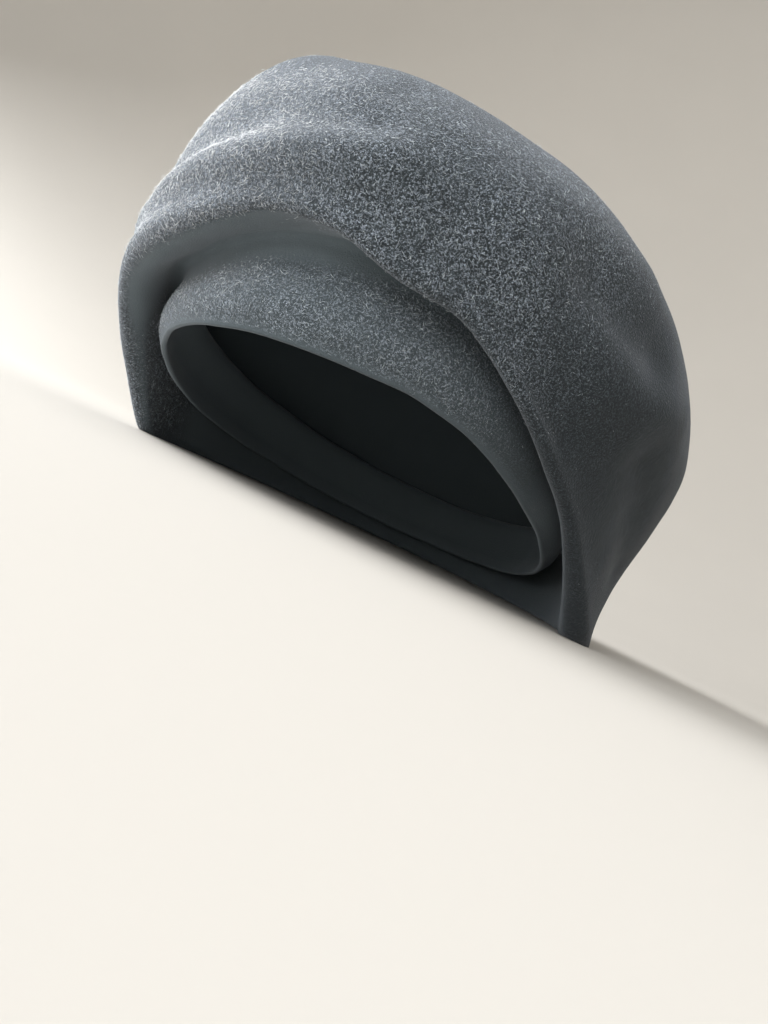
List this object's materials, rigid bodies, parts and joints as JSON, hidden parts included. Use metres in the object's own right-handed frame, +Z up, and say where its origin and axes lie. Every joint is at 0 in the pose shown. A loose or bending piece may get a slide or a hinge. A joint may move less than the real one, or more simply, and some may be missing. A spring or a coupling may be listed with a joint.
{
  "type": "toque",
  "caption": "Brimless soft felt toque: a draped, dented crown rolls down into a heavy fold round the head, tucks up behind it and ends in a raised front rim, with an open head hollow.",
  "frame": {"origin": "on the table under the middle of the hat's bounding box", "axes": "+Z up from the table; -Y is the wearer's front, where the rim is raised; +X is the wearer's left"},
  "size_m": [0.2192, 0.2372, 0.1417],
  "materials": {
    "felt": "charcoal black fur felt with a short brushed nap and a silvery bloom at grazing angles"
  },
  "bodies": {
    "root": {"felt_body": "felt"}
  },
  "joints": []
}
